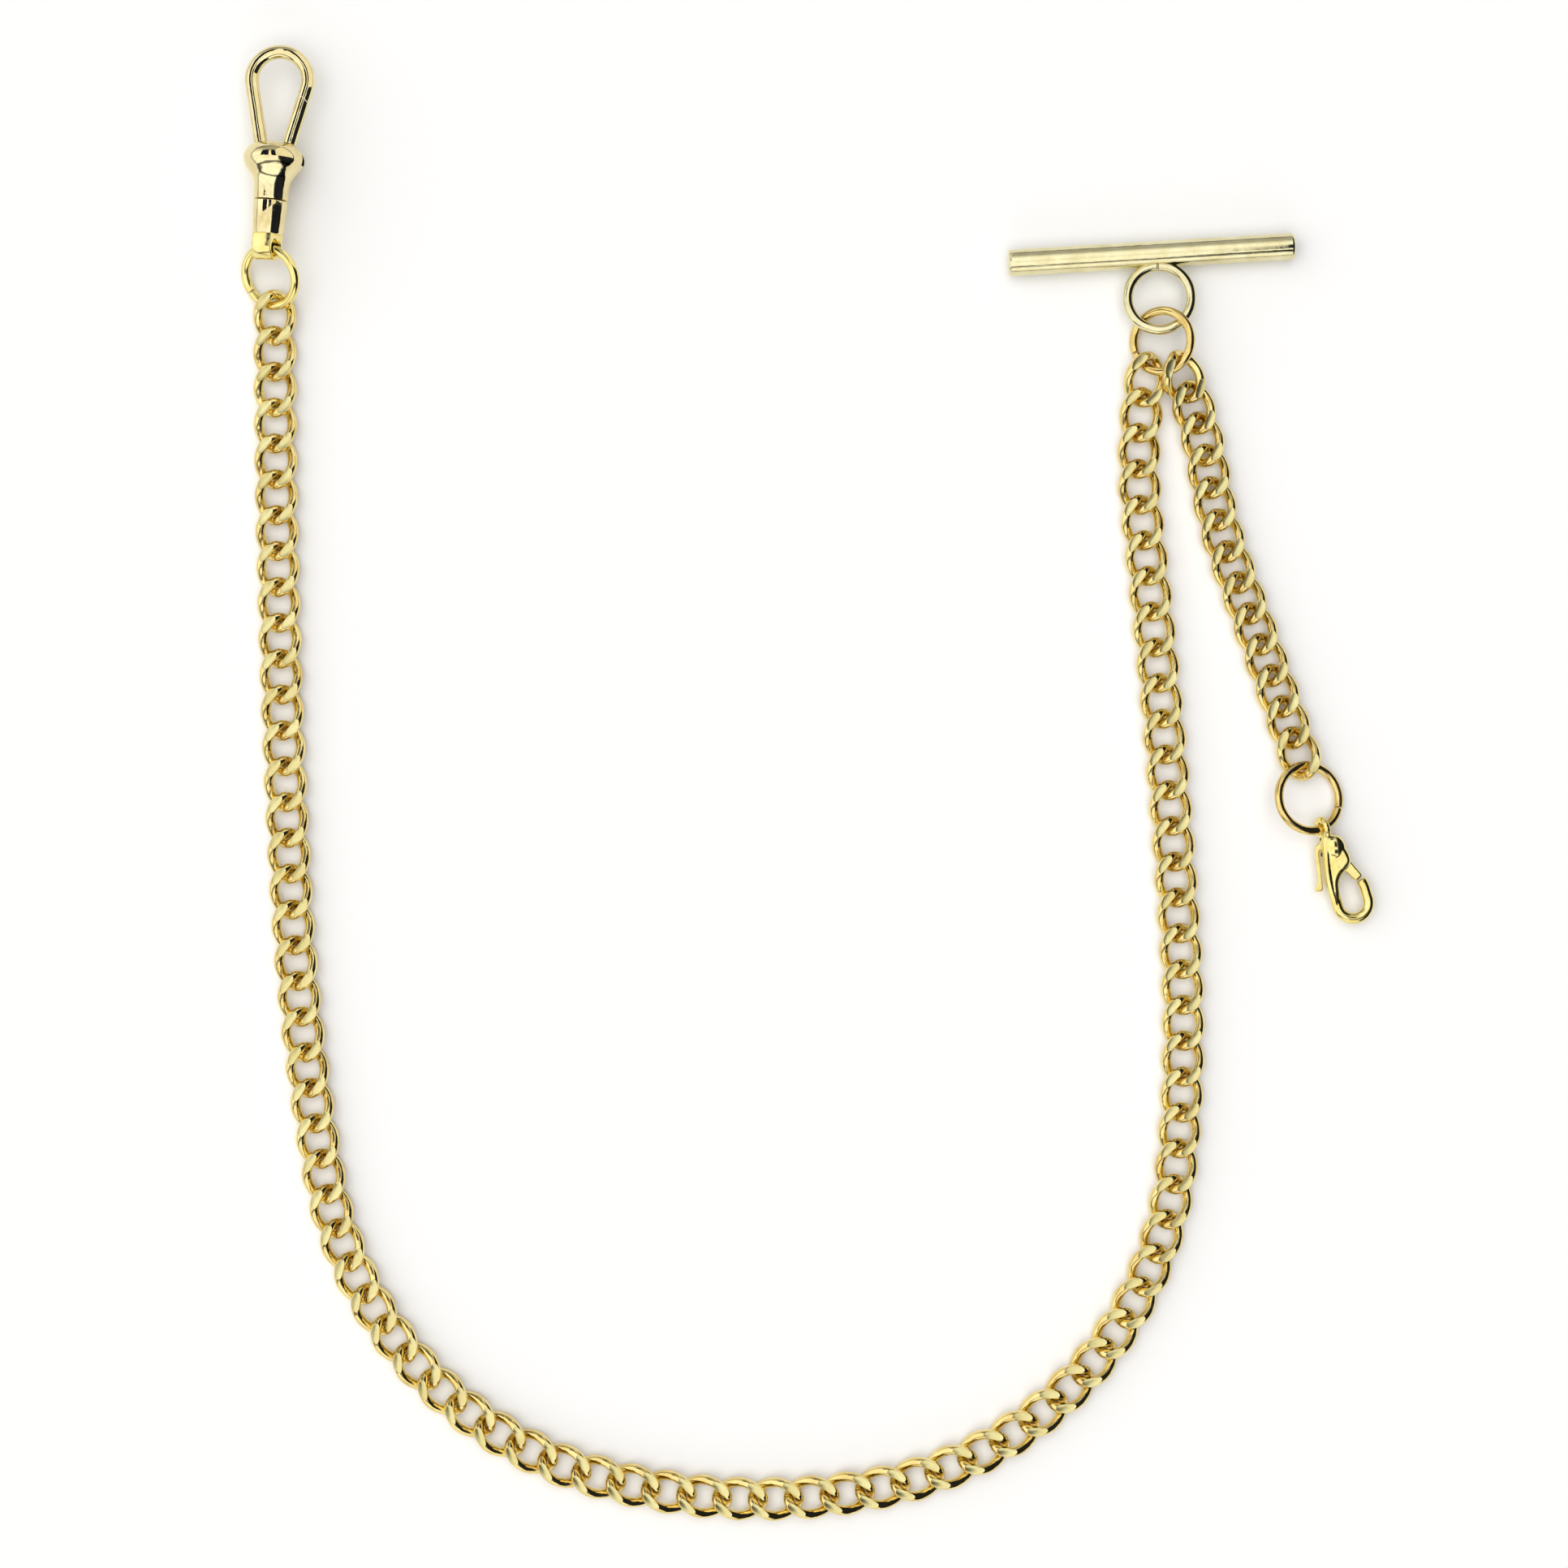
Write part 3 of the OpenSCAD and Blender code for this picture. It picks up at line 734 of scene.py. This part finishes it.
def build_bulb():
    """The turned bulb: a straight neck, a flared throat and a round shoulder, hollow for the post's head."""
    bore = POST_R + POST_GAP
    inside = [(0, CHAMBER_HIGH), (CHAMBER_R, CHAMBER_HIGH), (CHAMBER_R, CHAMBER_LOW), (bore, CHAMBER_LOW),
              (bore, BULB_LOW)]
    seam = [(1.86, BULB_LOW), (1.94, BULB_LOW + 0.05)]
    bm = bmesh.new()
    add_lathe(bm, seam + [tuple(p) for p in bulb_skin()] + [(0, BULB_HIGH)] + inside, 96)
    bulb = to_object("clip_bell", bm, CLIP, CHAMPAGNE)
    cut(bulb, block((SLOT_LEFT, SLOT_LOW, -SLOT_T / 2), (5, BULB_HIGH + 1, SLOT_T / 2), CLIP))
    bm = bmesh.new()
    add_rod(bm, GATE_PIN_D / 2, -4, 4)
    cut(bulb, to_object("drill", bm, CLIP @ place(limb(GATE_PIN_Y), (90, 0, 0))))
    bm = bmesh.new()
    down = [tuple(left_limb(y)) for y in np.linspace(SOCKET_LOW, SOCKET_HIGH, 6)]
    add_grid(bm, tube_rows(down, HOOK_D / 2 + 0.005, 28), False)
    cut(bulb, to_object("socket", bm, CLIP))
    done(bulb, "clip_bulb", "clip")


def gate_cut(bm, keep, shift):
    """Cuts the right limb with the slanting plane between the hook's nose and the gate, and closes the cut.

    keep is 1 to keep what is above the plane, or -1 to keep what is below it.
    """
    right_side, edge, edge_drop = 0.4, 0.06, 0.03
    lean = math.radians(GATE_CUT_LEAN)
    normal = Vector((-math.sin(lean), math.cos(lean), 0))
    at = Vector((limb(GATE_CUT_Y)[0], GATE_CUT_Y + shift, 0))
    chosen = [v for v in bm.verts if v.co.x > right_side]
    edges = [e for e in bm.edges if all(v.co.x > right_side for v in e.verts)]
    faces = [f for f in bm.faces if all(v.co.x > right_side for v in f.verts)]
    made = bmesh.ops.bisect_plane(
        bm, geom=chosen + edges + faces, plane_co=at, plane_no=normal * -keep, clear_outer=True, dist=1e-5
    )
    rim = [e for e in made["geom_cut"] if isinstance(e, bmesh.types.BMEdge)]
    face = bmesh.ops.contextual_create(bm, geom=rim)["faces"][0]
    ring = list(face.verts)
    bmesh.ops.inset_region(bm, faces=[face], thickness=edge, use_even_offset=True, use_boundary=True)
    for v in ring:
        v.co += normal * keep * edge_drop


def build_hook():
    """The hook's rod: down the left limb into its socket, round the bow and on to the slanting cut."""
    step = 0.3
    bow = arc(HOOK_R, 180 + HOOK_LEAN, -HOOK_LEAN, at=(0, BOW_Y, 0))
    left = [left_limb(y) for y in np.arange(SOCKET_LOW, bow[0][1] - 0.2, step)]
    right = [limb(y) for y in np.arange(bow[-1][1] - step, GATE_CUT_Y - 2.0, -step)]
    bm = bmesh.new()
    add_grid(bm, tube_rows(np.vstack([left, bow, right]), HOOK_D / 2, 36), False)
    gate_cut(bm, 1, GATE_GAP)
    done(to_object("clip_bow", bm, CLIP, CHAMPAGNE), "clip_hook", "clip")


def build_gate():
    """The hinged limb, with a flat tongue and a round boss below its rod, and its pin and spring."""
    foot = GATE_PIN_Y + 1.1
    bm = bmesh.new()
    rod = [limb(y) for y in np.arange(foot, GATE_CUT_Y + 1.5, 0.3)]
    points, radii = rounded_ends(rod, HOOK_D / 2, edge=0.15)
    add_grid(bm, tube_rows(points, radii, 36), False)
    gate_cut(bm, -1, 0)
    upper = to_object("gate_rod", bm, CLIP, CHAMPAGNE)
    low = -SLOT_T / 2 + 0.05
    top = low + GATE_T
    hole = GATE_PIN_D / 2 + PIN_GAP
    on_pin = CLIP @ place(limb(GATE_PIN_Y), (90, 0, 0))
    bm = bmesh.new()
    add_lathe(bm, rounded_outline([(hole, low), (BOSS_R, low), (BOSS_R, top), (hole, top)], 0.05), 40)
    eye = to_object("gate_boss", bm, on_pin @ Matrix.Scale(-1, 4, (0, 1, 0)), CHAMPAGNE)
    where = CLIP @ place(limb(GATE_PIN_Y), (0, 0, -HOOK_LEAN))
    tongue = block((-0.6, 0.6, low + 0.01), (0.6, 1.5, top - 0.01), where, bevel=0.05)
    tongue.data.materials.append(CHAMPAGNE)
    done(join("clip_gate_limb", [upper, eye, tongue]), "clip_gate", "clip_gate")

    bm = bmesh.new()
    add_rod(bm, GATE_PIN_D / 2, -BULB_R, BULB_R)
    piece = to_object("gate_rivet", bm, on_pin, CHAMPAGNE)
    bm = bmesh.new()
    under = 0.006
    add_lathe(bm, [(0, BULB_LOW)] + [(r - under, y) for r, y in bulb_skin()] + [(0, BULB_HIGH)], 96)
    cut(piece, to_object("skin", bm, CLIP), "INTERSECT")
    done(piece, "clip_gate_pin", "clip")
    on_boss = CLIP @ place(limb(GATE_PIN_Y) + np.array([0, 0, top]))
    coil = coil_piece("gate_coil", mean_r=0.6, wire=0.16, turns=4, where=on_boss)
    done(coil, "clip_gate_spring", "clip")


def coil_piece(name, mean_r, wire, turns, where):
    """A close-wound torsion spring standing on z = 0."""
    rise = 0.94 * wire * (turns - 1)
    angles = np.linspace(0, 2 * math.pi * turns, 28 * turns + 1)
    share = angles / angles[-1]
    path = [(mean_r * math.cos(a), mean_r * math.sin(a), wire / 2 + rise * s) for a, s in zip(angles, share)]
    return wire_piece(name, path, wire / 2 - 0.002, where, STEEL, around=12, edge=0.02)


# ---------------------------------------------------------------- lobster clasp
CLASP = place(CLASP_AT, (0, 0, CLASP_LEAN))
CLASP_T = 2.6
CLASP_WIRE = 1.25
CLASP_PIN_D = 0.8
CLASP_PIN_TOP = 1.0
CLASP_EYE_R = 1.02
CLASP_EYE_WIRE = 0.76
CLASP_EYE_AT = (-0.15, 2.14, 0.53)
CLASP_EYE_ROLL = -22.5
SHOULDER_AT = (0.5, -0.3, 0.66)
SHOULDER_SIZE = (1.3, 1.5, 0.78)
CLASP_BOW_R = 1.76
CLASP_BOW_AT = (0.84, -6.85, 0)
NOSE_LEN = 1.15
NOSE_R = 3.0
NOSE_TURN = 22
LEVER_SLOT_T = 1.2
LEVER_T = 1.0
LEVER_HUB_R = 1.0
LEVER_WELL = 0.45
LEVER_WELL_R = 0.74


def add_slab(bm, outline, low, high, bevel=0.1, taper=lambda y: 1.0):
    """An outline made into a slab with rounded edges, whose thickness may change along Y."""
    p = np.array(outline, float)
    after = np.roll(p, -1, 0) - p
    before = p - np.roll(p, 1, 0)
    normal = np.array([after[:, 1] + before[:, 1], -(after[:, 0] + before[:, 0])]).T
    area = 0.5 * np.sum(p[:, 0] * np.roll(p[:, 1], -1) - np.roll(p[:, 0], -1) * p[:, 1])
    normal *= np.sign(area) / np.linalg.norm(normal, axis=1)[:, None]
    edge = [(bevel * (1 - math.cos(a)), bevel * (1 - math.sin(a))) for a in np.radians(np.arange(0, 91, 15))]
    levels = [(low + rise, inset) for rise, inset in edge]
    levels += [(high - rise, inset) for rise, inset in edge[::-1]]
    rows = []
    for z, inset in levels:
        q = p - normal * inset
        rows.append([(x, y, z * taper(y)) for x, y in q])
    add_grid(bm, rows, False)


def remeshed(piece, voxel, smooth):
    """Melts overlapping solids into one skin and softens the corners where they meet."""
    skin = piece.modifiers.new("skin", "REMESH")
    skin.mode = "VOXEL"
    skin.voxel_size = voxel * MM
    soften = piece.modifiers.new("soften", "SMOOTH")
    soften.factor = 0.5
    soften.iterations = smooth
    apply_modifiers(piece)
    return piece


def clasp_bow():
    """The clasp hook's path and radii: down from the shoulder, round the bow and up to the nose."""
    bow = arc(CLASP_BOW_R, 180, 360, step=5, at=CLASP_BOW_AT)
    bow_y = CLASP_BOW_AT[1]
    nose_y = bow_y + NOSE_LEN
    left = [(bow[0][0], y, 0) for y in np.arange(-4.2, bow_y + 0.2, -0.2)]
    right = [(bow[-1][0], y, 0) for y in np.arange(bow_y + 0.2, nose_y - 0.1, 0.2)]
    nose = arc(NOSE_R, 0, NOSE_TURN, at=(bow[-1][0] - NOSE_R, nose_y, 0))
    path = np.vstack([left, bow, right, nose])
    # The wire thins over the last few points, towards the tip.
    thin = np.interp(np.arange(len(path)), [0, len(path) - 6, len(path)], [1.0, 1.0, 0.93])
    points, radii = rounded_ends(path, CLASP_WIRE / 2, edge=0.16)
    thin = np.interp(np.linspace(0, 1, len(points)), np.linspace(0, 1, len(path)), thin)
    return points, radii * thin


def build_clasp():
    """The cast clasp: eye, shoulder and hook as one flowing body, slotted for the lever."""
    bm = bmesh.new()
    plate = smooth_line(
        [(-0.5, 1.3), (-0.76, 0.6), (-0.98, -0.5), (-1.25, -1.8), (-1.45, -3.2), (-1.54, -4.4),
         (-1.53, -5.7), (-1.5, -6.7), (-1.36, -7.4), (-1.05, -7.6), (-0.72, -6.9), (-0.56, -6.1),
         (-0.36, -5.3), (-0.2, -4.4), (0.2, -3.7), (0.8, -3.2), (1.42, -2.78), (1.82, -2.2),
         (1.86, -1.5), (1.6, -0.4), (1.12, 0.6), (0.5, 1.3), (0.0, 1.45), (-0.5, 1.3)],
        0.15,
    )[:-1]
    half = CLASP_T / 2 - 0.02
    add_slab(bm, plate, -half, half, bevel=0.5, taper=lambda y: np.interp(y, [-7.2, -2.4], [0.4, 1]))
    shoulder = Matrix.Translation(SHOULDER_AT) @ Matrix.Diagonal((*SHOULDER_SIZE, 1))
    bmesh.ops.create_uvsphere(bm, u_segments=48, v_segments=24, radius=1, matrix=shoulder)
    points, radii = clasp_bow()
    add_grid(bm, tube_rows(points, radii, 32), False)
    eye_turn = place(CLASP_EYE_AT, (0, -CLASP_EYE_ROLL, 0)) @ turn(0, 90, 0)
    ring = [eye_turn @ Vector(p) for p in arc(CLASP_EYE_R, 0, 360, step=5)[:-1]]
    add_grid(bm, tube_rows([tuple(p) for p in ring], CLASP_EYE_WIRE / 2, 28, closed=True), True)
    neck = smooth_line([(-0.12, 1.05, 0.45), (0.0, 0.7, 0.3), (0.1, 0.1, 0.15), (0.2, -0.6, 0)], 0.1)
    add_grid(bm, tube_rows(neck, np.linspace(0.4, 0.95, len(neck)), 28), False)
    body = remeshed(to_object("clasp_cast", bm, CLASP, LEMON), voxel=0.055, smooth=14)

    bm = bmesh.new()
    slot = [(-0.62, -5.0), (0.9, -5.0), (0.9, -3.4), (3.0, -3.4), (3.0, 0.9), (1.1, 1.1), (-3.0, 1.25),
            (-3.0, -0.5), (-0.62, -0.95)]
    add_grid(bm, [[(x, y, z) for x, y in slot] for z in (-LEVER_SLOT_T / 2, LEVER_SLOT_T / 2)], False)
    cut(body, to_object("slot", bm, CLASP))
    bm = bmesh.new()
    add_rod(bm, CLASP_PIN_D / 2, -3, CLASP_PIN_TOP)
    cut(body, to_object("drill", bm, CLASP @ turn(90, 0, 0)))
    done(body, "clasp_body", "clasp")


def build_lever():
    """The lever: an arm that closes the hook, a hub and a tail for the thumb, and its pin and spring."""
    bm = bmesh.new()
    half = LEVER_T / 2
    arm = smooth_line(
        [(0.6, 0.6), (1.1, -0.4), (1.5, -1.35), (2.05, -2.7), (2.5, -3.7), (2.64, -4.15), (2.3, -4.39),
         (1.88, -4.57), (1.58, -4.25), (1.1, -3.4), (0.5, -2.5), (0.05, -1.6), (-0.3, -0.8), (0.0, 0.2),
         (0.6, 0.6)],
        0.15,
    )[:-1]
    add_slab(bm, arm, -half, half, bevel=0.2)
    tail = smooth_line(
        [(-0.1, 0.7), (-1.2, 0.52), (-1.55, 0.1), (-1.75, -0.5), (-2.02, -2.0), (-2.25, -3.25),
         (-2.55, -3.8), (-2.86, -4.28), (-2.78, -4.48), (-2.4, -4.55), (-2.08, -4.5), (-1.93, -4.1),
         (-1.78, -3.3), (-1.5, -1.7), (-1.26, -0.4), (-1.0, -0.12), (-0.5, -0.1), (-0.1, 0.1),
         (-0.1, 0.7)],
        0.15,
    )[:-1]
    add_slab(bm, tail, -half, half, bevel=0.12)
    around = np.radians(np.arange(0, 360, 7.5))
    rim = [(LEVER_HUB_R * math.cos(a), LEVER_HUB_R * math.sin(a)) for a in around]
    add_grid(bm, [[(x, y, z) for x, y in rim] for z in (-half, half)], False)
    lever = remeshed(to_object("clasp_lever_arm", bm, CLASP, LEMON), voxel=0.045, smooth=3)
    bm = bmesh.new()
    on_pin = CLASP @ turn(90, 0, 0)
    well = half - LEVER_WELL
    hole = CLASP_PIN_D / 2 + PIN_GAP
    through = 2
    drill = [(0, -through), (hole, -through), (hole, well), (LEVER_WELL_R, well), (LEVER_WELL_R, through),
             (0, through)]
    add_lathe(bm, drill, 40)
    cut(lever, to_object("drill", bm, on_pin))
    done(lever, "clasp_lever", "clasp_lever")

    bm = bmesh.new()
    foot = -CLASP_T / 2
    pin = [(0, foot), (CLASP_PIN_D / 2, foot), (CLASP_PIN_D / 2, CLASP_PIN_TOP), (0, CLASP_PIN_TOP)]
    add_lathe(bm, rounded_outline(pin, 0.02), 32)
    done(to_object("clasp_rivet", bm, on_pin, LEMON), "clasp_pin", "clasp")
    coil = coil_piece("clasp_coil", mean_r=0.58, wire=0.14, turns=3, where=CLASP @ place((0, 0, well)))
    done(coil, "clasp_spring", "clasp")


# ---------------------------------------------------------------- studio
def build_floor():
    """A plain white sweep under the chain."""
    half = 1.6
    low = min(cad_box[0][2], 0.0) - 0.00002
    corners = [(-half, -half, low), (half, -half, low), (half, half, low), (-half, half, low)]
    mesh = bpy.data.meshes.new("floor")
    mesh.from_pydata(corners, [], [(0, 1, 2, 3)])
    material, nodes, _ = new_material("floor")
    shader = nodes["Principled BSDF"]
    shader.inputs["Base Color"].default_value = (0.94, 0.94, 0.94, 1)
    shader.inputs["Roughness"].default_value = 0.75
    shader.inputs["Specular IOR Level"].default_value = 0.1
    mesh.materials.append(material)
    floor = new_object("floor", mesh)


def build_world():
    """A light tent: bright above, dark towards +X and at its near edge, and dimmer far off and low down."""
    world = bpy.data.worlds.new("studio")
    bpy.context.scene.world = world
    world.use_nodes = True
    nodes, links = world.node_tree.nodes, world.node_tree.links
    background = nodes["Background"]
    way = nodes.new("ShaderNodeTexCoord").outputs["Generated"]
    split = nodes.new("ShaderNodeSeparateXYZ")
    links.new(way, split.inputs[0])
    x, y, z = split.outputs

    def maths(operation, a, b):
        node = nodes.new("ShaderNodeMath")
        node.operation = operation
        for socket, value in zip(node.inputs, (a, b)):
            if isinstance(value, (int, float)):
                socket.default_value = value
            else:
                links.new(value, socket)
        return node.outputs[0]

    def band(value, low, high, soft):
        return maths(
            "MULTIPLY",
            ranged(nodes, links, value, low - soft, low + soft),
            ranged(nodes, links, value, high + soft, high - soft),
        )

    open_side = band(x, low=0.4, high=2.0, soft=0.05)
    near_edge = band(y, low=-0.76, high=-0.62, soft=0.03)
    far_side = ranged(nodes, links, y, 0.55, 0.8)
    low_ring = ranged(nodes, links, z, 0.22, 0.1)
    folds = noise(nodes, links, stretched(nodes, links, way, (1.2, 9.0, 1.2)), scale=1.0, detail=2)
    level = ranged(nodes, links, folds, 0.3, 0.7, to_low=1.05, to_high=1.55)
    for part, depth in ((open_side, 0.965), (near_edge, 0.85), (far_side, 0.6), (low_ring, 0.55)):
        dimmed = ranged(nodes, links, part, 0.0, 1.0, to_low=1.0, to_high=1.0 - depth)
        level = maths("MULTIPLY", level, dimmed)
    colour = mix_colour(nodes, links, open_side, (1.0, 0.985, 0.96), (0.35, 0.4, 0.6))
    links.new(colour, background.inputs["Color"])
    links.new(level, background.inputs["Strength"])


def card(name, corners, glow):
    """A card over the chain that is only seen in its reflections."""
    mesh = bpy.data.meshes.new(name)
    mesh.from_pydata([tuple(c * MM for c in corner) for corner in corners], [], [(0, 1, 2, 3)])
    material, nodes, links = new_material(name)
    nodes.remove(nodes["Principled BSDF"])
    light = nodes.new("ShaderNodeEmission")
    light.inputs["Color"].default_value = (*glow, 1)
    links.new(light.outputs[0], nodes["Material Output"].inputs["Surface"])
    mesh.materials.append(material)
    piece = new_object(name, mesh)
    piece.visible_camera = False
    piece.visible_diffuse = False
    piece.visible_shadow = False


def build_cards():
    """Cards round the swivel clip, two dark with a slit between them and one bright, and two dark ones
    beyond the T-bar's right end."""
    night, white = (0.012, 0.014, 0.03), (1.1, 1.06, 0.97)
    high, low = 150, 10
    near, far = 83, 260
    for name, left, right in (("clip_card_left", -190, -94), ("clip_card_right", -66, -20)):
        card(name, [(left, near, high), (right, near, high), (right, far, high), (left, far, high)], night)
    card("clip_side_card", [(-20, near, high), (14, 72, low), (14, far, low), (-20, far, high)], white)
    card("bar_card", [(73.6, 86, high), (120, 86, high), (120, 4, high), (71.4, 4, high)], night)
    card("link_card", [(70.6, -30, high), (128, -30, high), (128, -90, high), (69.5, -90, high)], night)


def build_top_light():
    """A broad light straight above, for the floor alone."""
    lamp = bpy.data.lights.new("top", "AREA")
    lamp.size = 1.2
    lamp.energy = 3.2
    top = new_object("top", lamp)
    top.location = (0, 0, 0.9)
    top.visible_glossy = False


def build_camera():
    """Straight above, far enough back to take in the whole chain as it lies."""
    lens = 90.0
    sensor = 36.0
    view_width = 175.6
    middle = (-2.5, 0.14, 1.5)
    data = bpy.data.cameras.new("camera")
    data.lens = lens
    data.sensor_width = sensor
    camera = new_object("camera", data)
    x, y, z = middle
    camera.location = (x * MM, y * MM, (view_width * lens / sensor + z) * MM)
    bpy.context.scene.camera = camera


def build_studio():
    """Floor, light tent, cards, lamp and camera, with colours shown as they are."""
    build_floor()
    build_world()
    build_cards()
    build_top_light()
    build_camera()
    view = bpy.context.scene.view_settings
    view.view_transform = "Standard"
    view.look = "None"


build_studio()
build_chains()
build_bar()
build_rings()
build_swivel()
build_bulb()
build_hook()
build_gate()
build_clasp()
build_lever()
